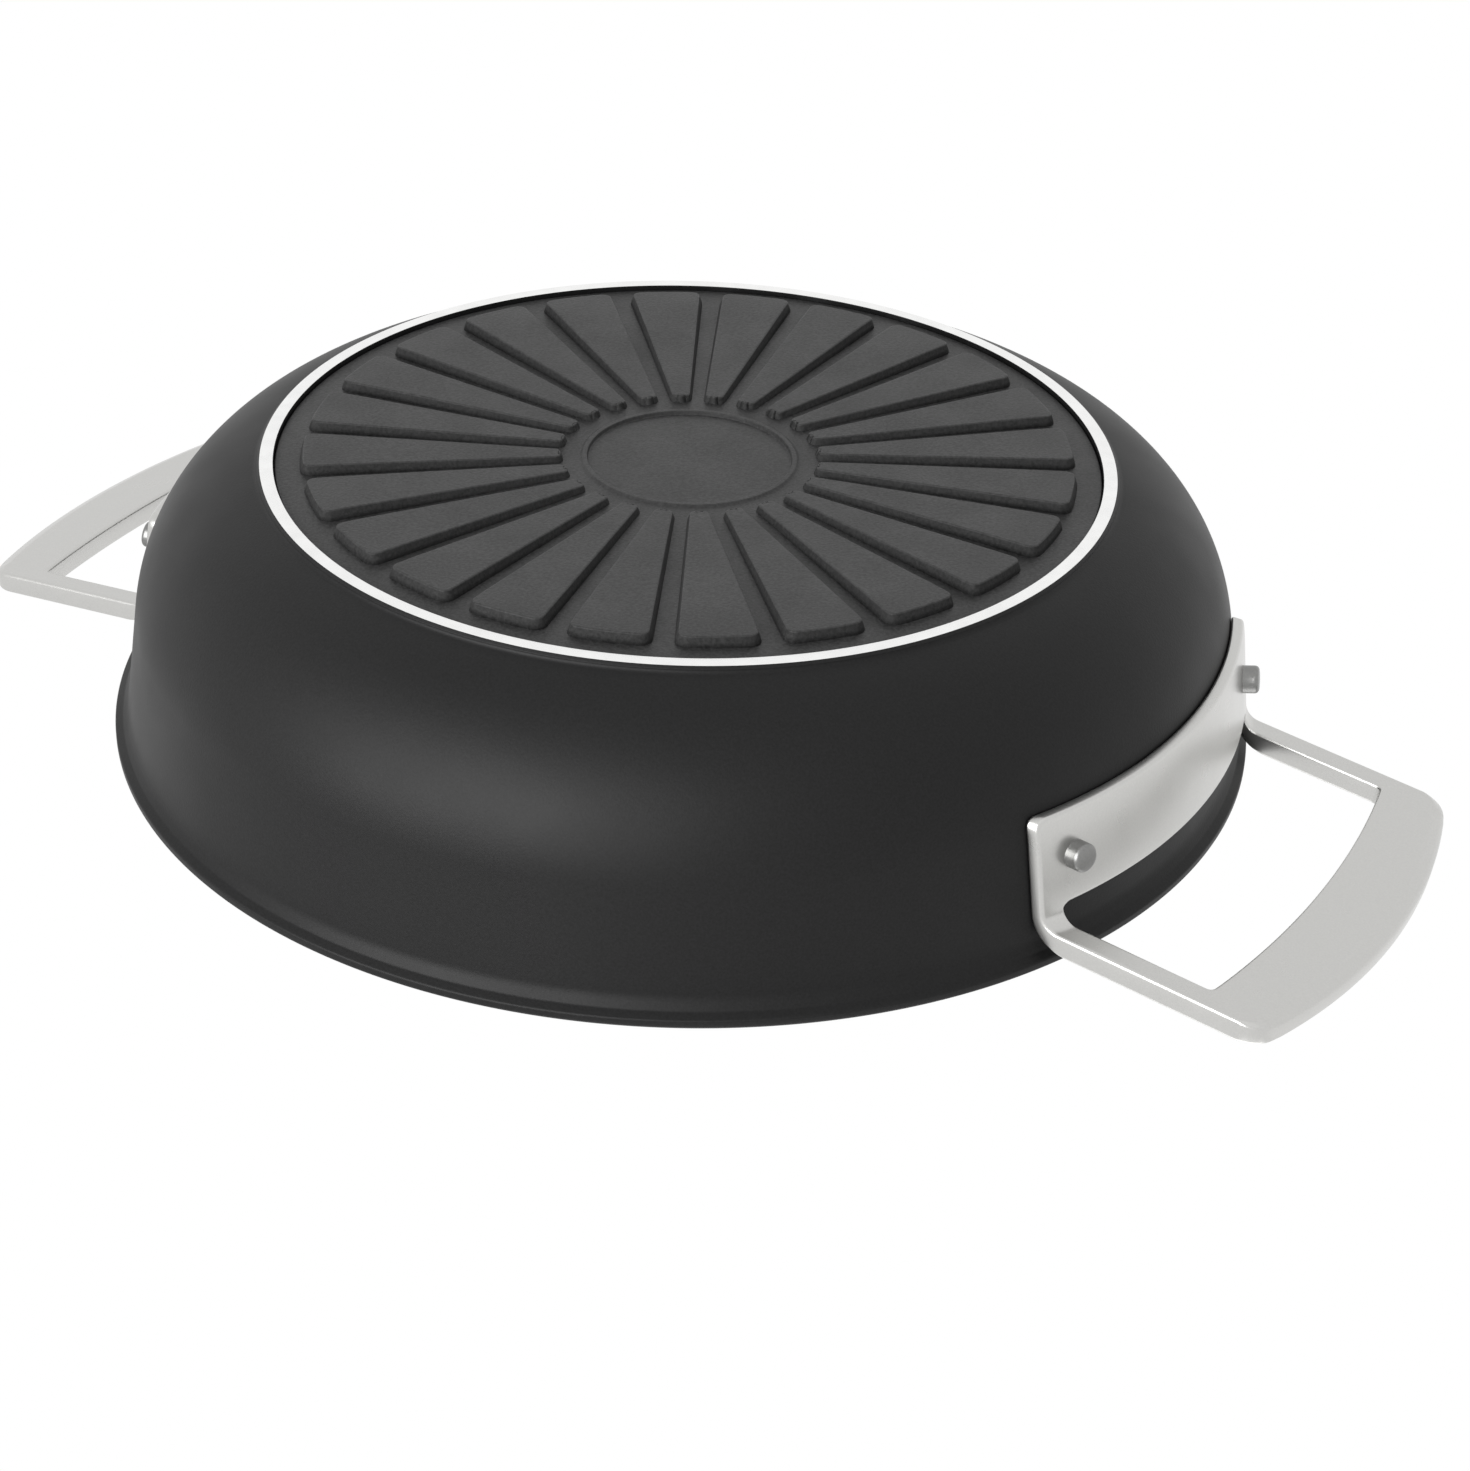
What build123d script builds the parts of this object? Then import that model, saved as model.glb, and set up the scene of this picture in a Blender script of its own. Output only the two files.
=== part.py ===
from build123d import *
from math import asin, atan2, cos, degrees, radians, sin, sqrt, tan
import os

# Stew pan with two riveted loop handles, upright with its mouth up.
# Millimetres. The origin is the middle of the plane that the base pads stand on.
# +Z points up to the rim and the handles point along +X and -X.

# Heights above the table. The handles and rivets are placed by their drop below the rim
pan_height = 72.0
ring_height = 1.3
pad_height = 2.8
floor_height = 8.2

# Pan wall
rim_radius = 146.0
wall_thickness = 3.2
wall_flare = 7.6
bowl_radius = 44.4
bowl_drop = 0.2
inner_bowl_radius = 36.0
lip_height = 2.6
lip_width = 3.46
lip_curve_height = 3.3
lip_chamfer = 0.8
lip_curve_out = 0.38
lip_curve_up = 0.72
mouth_drop = 0.5
mouth_widening = 2.8

# Foot ring of bare metal round the base plate
ring_reach = 8.2
ring_width = 4.0
ring_chamfer = 0.7

# Base plate with its radial pads. It is a little hollow, so cold it stands on the pads' outer ends
plate_thickness = 1.5
plate_gap = 0.2
pocket_gap = 0.05
dish_depth = 1.4
foot_width = 6.0
pad_count = 24
pad_turn = 8.9
pad_margin = 7.2
pad_inner_radius = 32.2
groove_inner_width = 4.3
groove_outer_width = 6.9
pad_draft = 12.0
pad_corner_radius = 2.0
bead_radius = 26.1
bead_width = 2.6
bead_crest = 1.0
bead_height = 1.1
medallion_depth = 0.5

# Handles
seat_gap = 0.15
flange_thickness = 3.0
flange_bottom_drop = 38.0
flange_top_drop = 14.8
outside_edge_chamfer = 0.8
upper_edge_chamfer = 0.6
flange_corner_radius = 2.5
leg_corner_radius = 3.0
handle_half_width = 57.6
bar_width = 6.3
bar_thickness = 5.6
handle_tilt = 6.6
handle_face_drop = 9.1
grip_reach = 51.8
grip_width = 20.2
grip_outer_radius = 172.0
grip_inner_radius = 280.0
grip_corner_radius = 8.0
slot_corner_radius = 1.6
elbow_outer_radius = 11.0
elbow_inner_radius = 4.5
grip_bevel_depth = 1.2
grip_bevel_width = 3.4
strip_overrun = 2.0

# Rivets
rivet_diameter = 7.0
rivet_clearance = 0.1
rivet_side = 46.46
rivet_drop = 26.0
rivet_tail = 3.8
rivet_chamfer = 0.6
rivet_drill_reach = 12.8
head_diameter = 15.0
head_thickness = 1.7
head_chamfer = 0.6
head_gap = 0.1

# Half-height of the band in which an edge or a corner is picked by its place
pick_band = 0.1

# Outer wall: an arc from the foot ring that turns into a flared straight wall
bowl_centre_z = ring_height - bowl_drop + bowl_radius
flare_slope = tan(radians(wall_flare))
flare_cos = cos(radians(wall_flare))
flare_sin = sin(radians(wall_flare))
diagonal = sin(radians(45))
lip_root_z = pan_height - lip_height - lip_curve_height
bowl_end_z = bowl_centre_z - bowl_radius * flare_sin
lip_root_r = rim_radius - lip_width
bowl_centre_r = lip_root_r - (lip_root_z - bowl_end_z) * flare_slope - bowl_radius * flare_cos


def arc_end(offset):
    """Point where the offset arc turns into the offset straight wall."""
    reach = bowl_radius + offset
    return (bowl_centre_r + reach * flare_cos, bowl_centre_z - reach * flare_sin)


def wall_radius(z, offset):
    """Radius of the outer wall, moved out by the offset, at a height."""
    end_r, end_z = arc_end(offset)
    if z >= end_z:
        return end_r + (z - end_z) * flare_slope
    reach = bowl_radius + offset
    return bowl_centre_r + sqrt(reach**2 - (bowl_centre_z - z) ** 2)


def bowl_point(offset, start, turn):
    """Point on the offset arc, part of the way from a start point to its end."""
    end_r, end_z = arc_end(offset)
    first = atan2(start[1] - bowl_centre_z, start[0] - bowl_centre_r)
    last = atan2(end_z - bowl_centre_z, end_r - bowl_centre_r)
    angle = first + (last - first) * turn
    reach = bowl_radius + offset
    return (bowl_centre_r + reach * cos(angle), bowl_centre_z + reach * sin(angle))


# Inner wall: flat floor, an arc, then a straight wall parallel to the outer one
inner_centre_z = floor_height + inner_bowl_radius
inner_line_r = wall_radius(inner_centre_z, 0) - wall_thickness / flare_cos
inner_centre_r = inner_line_r - inner_bowl_radius / flare_cos
inner_end = (
    inner_centre_r + inner_bowl_radius * flare_cos,
    inner_centre_z - inner_bowl_radius * flare_sin,
)
inner_middle = (
    inner_centre_r + inner_bowl_radius * diagonal,
    inner_centre_z - inner_bowl_radius * diagonal,
)

# The mouth flares out a little inside the lip
mouth_start_z = lip_root_z - mouth_drop
mouth_start_r = inner_end[0] + (mouth_start_z - inner_end[1]) * flare_slope
mouth_top_r = mouth_start_r + mouth_widening

ring_inner_radius = bowl_centre_r + ring_reach
ring_outer_radius = ring_inner_radius + ring_width
pad_outer_radius = ring_inner_radius - pad_margin
plate_radius = ring_inner_radius - plate_gap
plate_face_z = pad_height
plate_back_z = plate_face_z + plate_thickness
foot_radius = pad_outer_radius - foot_width
dish_slope = dish_depth / (foot_radius - pad_inner_radius)


def dish(radius):
    """Height of the hollow under the base at a radius."""
    return dish_slope * (foot_radius - radius)


middle_back_z = plate_back_z + dish(bead_radius)
shoulder = (
    ring_outer_radius,
    bowl_centre_z - sqrt(bowl_radius**2 - (ring_outer_radius - bowl_centre_r) ** 2),
)
lip_root = (lip_root_r, lip_root_z)
lip_under = (rim_radius - lip_chamfer, pan_height - lip_height)
lip_curve = (
    lip_root[0] + (lip_under[0] - lip_root[0]) * lip_curve_out,
    lip_root[1] + (lip_under[1] - lip_root[1]) * lip_curve_up,
)

# Handle and rivet places, measured from the rim
flange_bottom = pan_height - flange_bottom_drop
flange_top = pan_height - flange_top_drop
handle_face_z = pan_height - handle_face_drop
grip_outer_x = rim_radius + grip_reach
rivet_height = pan_height - rivet_drop
rivet_angle = degrees(asin(rivet_side / wall_radius(rivet_height, 0)))

# Rivet planes, square to the straight part of the wall
rivet_planes = {}
for side, middle in (("right", 0), ("left", 180)):
    for end, turn in (("front", -rivet_angle), ("rear", rivet_angle)):
        azimuth = radians(middle + turn)
        out = Vector(cos(azimuth), sin(azimuth), 0)
        seat = out * wall_radius(rivet_height, 0) + Vector(0, 0, rivet_height)
        rivet_planes[f"rivet_{side}_{end}"] = Plane(
            origin=seat,
            x_dir=Vector(-sin(azimuth), cos(azimuth), 0),
            z_dir=out * flare_cos - Vector(0, 0, flare_sin),
        )

# Pan body, one turned section with its foot ring, lip and rivet holes
with BuildPart() as pan_body:
    with BuildSketch(Plane.XZ):
        with BuildLine():
            Polyline(
                (0, floor_height),
                (0, middle_back_z + pocket_gap),
                (bead_radius, middle_back_z + pocket_gap),
                (foot_radius, plate_back_z),
                (ring_inner_radius, plate_back_z),
                (ring_inner_radius, ring_height),
                (ring_outer_radius - ring_chamfer, ring_height),
                (ring_outer_radius, ring_height + ring_chamfer),
                shoulder,
            )
            ThreePointArc(shoulder, bowl_point(0, shoulder, 0.5), arc_end(0))
            Line(arc_end(0), lip_root)
            Polyline(
                lip_root,
                lip_curve,
                lip_under,
                (rim_radius, pan_height - lip_height + lip_chamfer),
                (rim_radius, pan_height),
                (mouth_top_r, pan_height),
            )
            Polyline(
                (mouth_top_r, pan_height),
                (mouth_start_r, mouth_start_z),
                inner_end,
            )
            ThreePointArc(inner_end, inner_middle, (inner_centre_r, floor_height))
            Line((inner_centre_r, floor_height), (0, floor_height))
        make_face()
    revolve(axis=Axis.Z)
    rim_edges = pan_body.edges().filter_by(GeomType.CIRCLE).group_by(Axis.Z)[-1]
    chamfer(rim_edges, lip_chamfer)
    for plane in rivet_planes.values():
        with BuildSketch(plane):
            Circle(rivet_diameter / 2 + rivet_clearance)
        extrude(amount=rivet_drill_reach, both=True, mode=Mode.SUBTRACT)
pan_body.part.label = "pan_body"


def groove_half_angle(radius, width):
    """Half of the angle that a groove of this width takes at a radius."""
    return degrees(asin(width / 2 / radius))


# Base plate: a round plate, a bead round its recessed middle and a ring of pads
pitch = 360 / pad_count
inner_half = pitch / 2 - groove_half_angle(pad_inner_radius, groove_inner_width)
outer_half = pitch / 2 - groove_half_angle(pad_outer_radius, groove_outer_width)
with BuildSketch() as pad_outline:
    with BuildLine():
        corners = []
        for radius, half in ((pad_inner_radius, inner_half), (pad_outer_radius, outer_half)):
            low = (radius * cos(radians(half)), -radius * sin(radians(half)))
            high = (radius * cos(radians(half)), radius * sin(radians(half)))
            corners.append((low, (radius, 0), high))
        ThreePointArc(*corners[0])
        Line(corners[0][2], corners[1][2])
        ThreePointArc(*reversed(corners[1]))
        Line(corners[1][0], corners[0][0])
    make_face()
    fillet(pad_outline.vertices().group_by(Axis.X)[-1], pad_corner_radius)

bead_inner = bead_radius - bead_width / 2
bead_outer = bead_radius + bead_width / 2
bead_top_z = plate_face_z + dish(bead_radius) - bead_height
medallion_z = plate_face_z + dish(bead_radius) + medallion_depth
with BuildPart() as base_plate:
    with BuildSketch(Plane.XZ):
        with BuildLine():
            Polyline(
                (0, middle_back_z),
                (bead_radius, middle_back_z),
                (foot_radius, plate_back_z),
                (plate_radius, plate_back_z),
                (plate_radius, plate_face_z),
                (foot_radius, plate_face_z),
                (bead_outer, plate_face_z + dish(bead_outer)),
                (bead_radius + bead_crest / 2, bead_top_z),
                (bead_radius - bead_crest / 2, bead_top_z),
                (bead_inner, medallion_z),
                (0, medallion_z),
                close=True,
            )
        make_face()
    revolve(axis=Axis.Z)
    with BuildSketch(Plane.XY):
        with PolarLocations(0, pad_count, start_angle=pad_turn):
            add(pad_outline.sketch)
    extrude(amount=plate_back_z, taper=-pad_draft)

    # The pad tops follow the hollow inside the flat foot
    with BuildSketch(Plane.XZ):
        with BuildLine():
            Polyline(
                (0, dish(0)),
                (foot_radius, 0),
                (foot_radius, -pad_height),
                (0, -pad_height),
                close=True,
            )
        make_face()
    revolve(axis=Axis.Z, mode=Mode.SUBTRACT)
base_plate.part.label = "base_plate"

# Handle loop: two bars and a wide grip in one tilted plane
tilt_cos = cos(radians(handle_tilt))
tilt_sin = sin(radians(handle_tilt))
loop_plane = Plane(
    origin=(rim_radius, 0, handle_face_z),
    x_dir=(tilt_cos, 0, tilt_sin),
    z_dir=(-tilt_sin, 0, tilt_cos),
)


def along(x):
    """Distance along the tilted plane for a distance from the pan's axis."""
    return (x - rim_radius) / tilt_cos


slot_half_width = handle_half_width - bar_width
flange_back = seat_gap
flange_front = seat_gap + flange_thickness
flange_middle = seat_gap + flange_thickness / 2
leg_back_x = sqrt(wall_radius(handle_face_z, flange_back) ** 2 - handle_half_width**2)
leg_middle_radius = wall_radius(handle_face_z, flange_middle)
bar_start_outer = along(sqrt(leg_middle_radius**2 - handle_half_width**2))
bar_start_inner = along(sqrt(leg_middle_radius**2 - slot_half_width**2))
outer_centre = along(grip_outer_x) - grip_outer_radius
side_end = outer_centre + sqrt(grip_outer_radius**2 - handle_half_width**2)
slot_far = along(grip_outer_x - grip_width)
slot_side = slot_far - grip_inner_radius + sqrt(grip_inner_radius**2 - slot_half_width**2)
flange_edge = asin(handle_half_width / wall_radius(flange_bottom, flange_back))
flange_sweep = degrees(flange_edge) + strip_overrun
flange_section = Plane(
    origin=(0, 0, 0),
    x_dir=(cos(radians(flange_sweep)), -sin(radians(flange_sweep)), 0),
    z_dir=(-sin(radians(flange_sweep)), -cos(radians(flange_sweep)), 0),
)


def wall_side(bottom, top, offset):
    """Line that follows the offset wall from one height up to another."""
    start = (wall_radius(bottom, offset), bottom)
    end = (wall_radius(top, offset), top)
    if bottom < arc_end(offset)[1]:
        ThreePointArc(start, bowl_point(offset, start, 0.5), arc_end(offset))
        Line(arc_end(offset), end)
    else:
        Line(start, end)
    return start, end


def wall_strip(bottom, top, back, front):
    """Outline of a strip that follows the wall between two heights."""
    back_start, back_end = wall_side(bottom, top, back)
    front_start, front_end = wall_side(bottom, top, front)
    Line(back_start, front_start)
    Line(back_end, front_end)


leg_top = handle_face_z + bar_thickness
elbow_centre = loop_plane.from_local_coords(
    (along(leg_back_x) + elbow_outer_radius, 0, bar_thickness - elbow_outer_radius)
)
elbow_low = (elbow_centre.X - elbow_outer_radius, elbow_centre.Z)
elbow_high = (
    elbow_centre.X - elbow_outer_radius * tilt_sin,
    elbow_centre.Z + elbow_outer_radius * tilt_cos,
)
elbow_middle = (
    elbow_centre.X - elbow_outer_radius * diagonal,
    elbow_centre.Z + elbow_outer_radius * diagonal,
)
leg_plane = Plane.YZ.offset(leg_back_x / 2)

# Flange with a leg up to each bar: a strip round the wall, cut to its outline
with BuildPart() as flange:
    with BuildSketch(flange_section):
        with BuildLine():
            wall_strip(flange_bottom - flange_thickness, leg_top, flange_back, flange_front)
        make_face()
    revolve(axis=Axis.Z, revolution_arc=2 * flange_sweep)
    with BuildSketch(leg_plane) as flange_outline:
        with BuildLine():
            Polyline(
                (-handle_half_width, flange_bottom),
                (handle_half_width, flange_bottom),
                (handle_half_width, leg_top + flange_thickness),
                (slot_half_width, leg_top + flange_thickness),
                (slot_half_width, flange_top),
                (-slot_half_width, flange_top),
                (-slot_half_width, leg_top + flange_thickness),
                (-handle_half_width, leg_top + flange_thickness),
                close=True,
            )
        make_face()
        fillet(flange_outline.vertices().group_by(Axis.Y)[0], flange_corner_radius)
        crotch = flange_outline.vertices().filter_by_position(
            Axis.Y, flange_top - pick_band, flange_top + pick_band
        )
        fillet(crotch, leg_corner_radius)
    extrude(amount=leg_back_x, mode=Mode.INTERSECT)

with BuildPart() as handle_right:
    with BuildSketch(loop_plane) as loop_outline:
        with BuildLine():
            ThreePointArc(
                (side_end, -handle_half_width),
                (along(grip_outer_x), 0),
                (side_end, handle_half_width),
            )
            Polyline(
                (side_end, handle_half_width),
                (bar_start_outer, handle_half_width),
                (bar_start_inner, slot_half_width),
                (slot_side, slot_half_width),
            )
            ThreePointArc(
                (slot_side, slot_half_width),
                (slot_far, 0),
                (slot_side, -slot_half_width),
            )
            Polyline(
                (slot_side, -slot_half_width),
                (bar_start_inner, -slot_half_width),
                (bar_start_outer, -handle_half_width),
                (side_end, -handle_half_width),
            )
        make_face()
        far_corners = loop_outline.vertices().filter_by_position(
            Axis.X, side_end - pick_band, side_end + pick_band
        )
        fillet(far_corners, grip_corner_radius)
        slot_corners = loop_outline.vertices().filter_by_position(
            Axis.X, slot_side - pick_band, slot_side + pick_band
        )
        fillet(slot_corners, slot_corner_radius)
    extrude(amount=bar_thickness)

    # Bevel along the outer edge of the grip's underside
    bevel_axis = Axis(loop_plane.from_local_coords((outer_centre, 0, 0)), loop_plane.z_dir)
    bevel_plane = Plane(
        origin=loop_plane.from_local_coords((outer_centre, 0, 0)),
        x_dir=loop_plane.x_dir,
        z_dir=-loop_plane.y_dir,
    )
    with BuildSketch(bevel_plane):
        with BuildLine():
            Polyline(
                (grip_outer_radius - grip_bevel_width, 0),
                (grip_outer_radius, grip_bevel_depth),
                (grip_outer_radius + grip_bevel_width, grip_bevel_depth),
                (grip_outer_radius + grip_bevel_width, -grip_bevel_depth),
                (grip_outer_radius - grip_bevel_width, -grip_bevel_depth),
                close=True,
            )
        make_face()
    revolve(axis=bevel_axis, mode=Mode.SUBTRACT)

    # Legs run into the bars through an elbow, rounded inside and outside
    add(flange.part)
    elbow_edges = handle_right.edges().filter_by(GeomType.ELLIPSE).group_by(Axis.Z)[0]
    fillet(elbow_edges, elbow_inner_radius)
    with BuildSketch(Plane.XZ.offset(-handle_half_width)):
        with BuildLine():
            Line(elbow_low, (elbow_low[0] - elbow_outer_radius, elbow_low[1]))
            Polyline(
                (elbow_low[0] - elbow_outer_radius, elbow_low[1]),
                (elbow_low[0] - elbow_outer_radius, elbow_high[1] + elbow_outer_radius),
                (elbow_high[0], elbow_high[1] + elbow_outer_radius),
                elbow_high,
            )
            ThreePointArc(elbow_high, elbow_middle, elbow_low)
        make_face()
    extrude(amount=2 * handle_half_width, mode=Mode.SUBTRACT)

    # Broken edges, then the rivet holes
    loop_axis = Axis(loop_plane.origin, loop_plane.z_dir)
    upper_face = handle_right.faces().filter_by(GeomType.PLANE).sort_by(loop_axis)[-1]
    chamfer(upper_face.edges(), upper_edge_chamfer)
    flange_face = handle_right.faces().filter_by(GeomType.CONE).filter_by_position(
        Axis.X, wall_radius(rivet_height, 0), rim_radius
    ).sort_by(Axis.X)[-1]
    chamfer(flange_face.edges(), outside_edge_chamfer)
    for name in ("rivet_right_front", "rivet_right_rear"):
        with BuildSketch(rivet_planes[name]):
            Circle(rivet_diameter / 2 + rivet_clearance)
        extrude(amount=rivet_drill_reach, both=True, mode=Mode.SUBTRACT)
handle_right.part.label = "handle_right"

# The left handle is the same casting, turned half a turn about the pan's axis
with BuildPart() as handle_left:
    add(handle_right.part.rotate(Axis.Z, 180))
handle_left.part.label = "handle_left"

# Rivets: flat head inside the wall, shank through wall and flange, flat tail outside
inside_radius = wall_radius(rivet_height, 0) - wall_thickness
head_hollow = (head_diameter / 2) ** 2 / (2 * inside_radius)
head_seat = -wall_thickness - head_hollow - head_gap
tail_end = flange_front + rivet_tail
rivets = {}
for name, plane in rivet_planes.items():
    with BuildPart() as rivet:
        with BuildSketch(plane.offset(head_seat - head_thickness)):
            Circle(head_diameter / 2)
        extrude(amount=head_thickness)
        chamfer(rivet.edges().sort_by(Axis(plane.origin, plane.z_dir))[0], head_chamfer)
        with BuildSketch(plane.offset(head_seat)):
            Circle(rivet_diameter / 2)
        extrude(amount=tail_end - head_seat)
        chamfer(rivet.edges().sort_by(Axis(plane.origin, plane.z_dir))[-1], rivet_chamfer)
    rivet.part.label = name
    rivets[name] = rivet

os.makedirs("parts", exist_ok=True)
export_step(pan_body.part, "parts/pan_body.step")
export_step(base_plate.part, "parts/base_plate.step")
export_step(handle_right.part, "parts/handle_right.step")
export_step(handle_left.part, "parts/handle_left.step")
for name, rivet in rivets.items():
    export_step(rivet.part, f"parts/{name}.step")
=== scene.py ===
import math
import bmesh
import bpy
import numpy as np
from mathutils import Matrix, Vector


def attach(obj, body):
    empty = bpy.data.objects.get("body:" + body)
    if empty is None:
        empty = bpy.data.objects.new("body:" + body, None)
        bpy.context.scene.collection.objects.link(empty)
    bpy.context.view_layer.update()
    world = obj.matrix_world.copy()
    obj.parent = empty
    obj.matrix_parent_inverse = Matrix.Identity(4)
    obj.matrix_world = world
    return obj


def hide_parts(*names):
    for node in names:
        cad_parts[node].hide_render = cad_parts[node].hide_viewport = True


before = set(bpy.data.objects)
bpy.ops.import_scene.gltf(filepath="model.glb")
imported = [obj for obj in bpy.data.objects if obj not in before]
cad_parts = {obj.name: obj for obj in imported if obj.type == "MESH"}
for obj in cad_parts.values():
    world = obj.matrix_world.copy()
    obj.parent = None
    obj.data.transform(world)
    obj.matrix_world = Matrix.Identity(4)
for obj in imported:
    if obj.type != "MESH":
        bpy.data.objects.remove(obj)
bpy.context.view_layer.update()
print("frame loaded:", ", ".join(sorted(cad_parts)))

mm = 0.001  # pan sizes below are in millimetres, upright, base pads at height 0

# The photograph shows the pan upside down, so its camera looks up at the base from below
photoView = {
    "frameWidth": 1470.0,
    "frameMiddle": (735.0, 735.0),
    "focalPixels": 3153.2,
    "rimMiddlePixel": (683.5, 693.6),  # where the middle of the rim plane falls
    "rimHeight": 72.0,
    "distance": 824.7,  # along the view to the middle of the rim plane
    "azimuth": 59.61,
    "elevation": -31.43,
    "roll": 2.08,
    "sensorWidth": 36.0,
}


def placeCamera(view):
    az, el, roll = (math.radians(view[k]) for k in ("azimuth", "elevation", "roll"))
    back = Vector((math.cos(el) * math.cos(az), math.cos(el) * math.sin(az), math.sin(el)))
    right = Vector((math.sin(az), -math.cos(az), 0.0))
    up = back.cross(right)
    rolledRight = right * math.cos(roll) + up * math.sin(roll)
    rolledUp = up * math.cos(roll) - right * math.sin(roll)
    f = view["focalPixels"]
    across = (view["rimMiddlePixel"][0] - view["frameMiddle"][0]) / f
    down = (view["rimMiddlePixel"][1] - view["frameMiddle"][1]) / f
    ray = -back + rolledRight * across - rolledUp * down
    place = Vector((0, 0, view["rimHeight"])) - ray * view["distance"]
    data = bpy.data.cameras.new("photoCamera")
    data.sensor_fit = "HORIZONTAL"
    data.sensor_width = view["sensorWidth"]
    data.lens = view["sensorWidth"] * f / view["frameWidth"]
    data.clip_start = 0.01
    data.clip_end = 100.0
    camera = bpy.data.objects.new("photoCamera", data)
    bpy.context.scene.collection.objects.link(camera)
    camera.matrix_world = Matrix((
        (rolledRight.x, rolledUp.x, back.x, place.x * mm),
        (rolledRight.y, rolledUp.y, back.y, place.y * mm),
        (rolledRight.z, rolledUp.z, back.z, place.z * mm),
        (0, 0, 0, 1),
    ))
    bpy.context.scene.camera = camera
    return rolledRight, back


viewRight, viewBack = placeCamera(photoView)
print("camera placed")


# Small helpers for meshes
mergeDistance = 1e-7  # metres
onAxis = 1e-9  # a smaller radius, in millimetres, is on the axis
nearlyStraight = math.radians(89.5)  # half the angle at a corner too flat to round


def addMesh(name, points, faces):
    mesh = bpy.data.meshes.new(name)
    mesh.from_pydata([tuple(c * mm for c in p) for p in points], [], faces)
    mesh.validate()
    mesh.polygons.foreach_set("use_smooth", [True] * len(mesh.polygons))
    thing = bpy.data.objects.new(name, mesh)
    bpy.context.scene.collection.objects.link(thing)
    return thing


def tidyMesh(thing):
    work = bmesh.new()
    work.from_mesh(thing.data)
    bmesh.ops.remove_doubles(work, verts=work.verts, dist=mergeDistance)
    bmesh.ops.recalc_face_normals(work, faces=work.faces)
    work.to_mesh(thing.data)
    work.free()


def roundedPath(corners, steps):
    # corners are (r, z) or (r, z, radius); a radius rounds that corner with an arc
    path = []
    for i, corner in enumerate(corners):
        here = Vector(corner[:2])
        if len(corner) < 3 or i in (0, len(corners) - 1):
            path.append(tuple(here))
            continue
        before = (Vector(corners[i - 1][:2]) - here).normalized()
        after = (Vector(corners[i + 1][:2]) - here).normalized()
        half = before.angle(after) / 2
        if half > nearlyStraight:
            path.append(tuple(here))
            continue
        reach = corner[2] / math.tan(half)
        middle = here + (before + after).normalized() * corner[2] / math.sin(half)
        start = here + before * reach - middle
        end = here + after * reach - middle
        sweep = start.angle_signed(end)
        for k in range(steps + 1):
            turn = -sweep * k / steps
            c, s = math.cos(turn), math.sin(turn)
            path.append((middle.x + start.x * c - start.y * s, middle.y + start.x * s + start.y * c))
    return path


def arcPath(centre, radius, startAngle, endAngle, steps):
    angles = np.radians(np.linspace(startAngle, endAngle, steps + 1))
    return [(centre[0] + radius * math.cos(a), centre[1] + radius * math.sin(a)) for a in angles]


def turned(name, path, steps):
    # a closed turned body from an open path that starts and ends on the axis
    points, rings = [], []
    for r, z in path:
        if r < onAxis:
            rings.append([len(points)])
            points.append((0.0, 0.0, z))
        else:
            first = len(points)
            for k in range(steps):
                a = 2 * math.pi * k / steps
                points.append((r * math.cos(a), r * math.sin(a), z))
            rings.append(list(range(first, first + steps)))
    faces, bands = [], []
    for band, (a, b) in enumerate(zip(rings, rings[1:])):
        for k in range(steps):
            n = (k + 1) % steps
            if len(a) == 1:
                faces.append((a[0], b[n], b[k]))
            elif len(b) == 1:
                faces.append((a[k], a[n], b[0]))
            else:
                faces.append((a[k], a[n], b[n], b[k]))
            bands.append(band)
    return addMesh(name, points, faces), bands


# Material helpers
noiseLow, noiseHigh = 0.3, 0.7  # nearly all of a noise pattern lies between these


def newMaterial(name):
    material = bpy.data.materials.new(name)
    material.use_nodes = True
    tree = material.node_tree
    shader = tree.nodes["Principled BSDF"]
    place = tree.nodes.new("ShaderNodeTexCoord")
    return material, tree, shader, place.outputs["Object"]


def noiseOf(tree, place, scale, detail=2.0, roughness=0.5):
    noise = tree.nodes.new("ShaderNodeTexNoise")
    noise.inputs["Scale"].default_value = scale
    noise.inputs["Detail"].default_value = detail
    noise.inputs["Roughness"].default_value = roughness
    tree.links.new(place, noise.inputs["Vector"])
    return noise.outputs["Fac"]


def rampOf(tree, factor, stops):
    ramp = tree.nodes.new("ShaderNodeValToRGB")
    elements = ramp.color_ramp.elements
    while len(elements) < len(stops):
        elements.new(0.5)
    for element, (position, colour) in zip(elements, stops):
        element.position = position
        element.color = (*colour, 1.0)
    tree.links.new(factor, ramp.inputs["Fac"])
    return ramp.outputs["Color"]


def rangeOf(tree, factor, low, high, fromLow=0.0, fromHigh=1.0):
    node = tree.nodes.new("ShaderNodeMapRange")
    node.inputs["From Min"].default_value = fromLow
    node.inputs["From Max"].default_value = fromHigh
    node.inputs["To Min"].default_value = low
    node.inputs["To Max"].default_value = high
    tree.links.new(factor, node.inputs["Value"])
    return node.outputs["Result"]


def bumpOf(tree, height, distance):
    bump = tree.nodes.new("ShaderNodeBump")
    bump.inputs["Distance"].default_value = distance
    bump.inputs["Strength"].default_value = 1.0
    tree.links.new(height, bump.inputs["Height"])
    return bump.outputs["Normal"]


def linkRoughness(tree, shader, look, pattern):
    rough = rangeOf(tree, pattern, look["roughLow"], look["roughHigh"], noiseLow, noiseHigh)
    tree.links.new(rough, shader.inputs["Roughness"])


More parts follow.
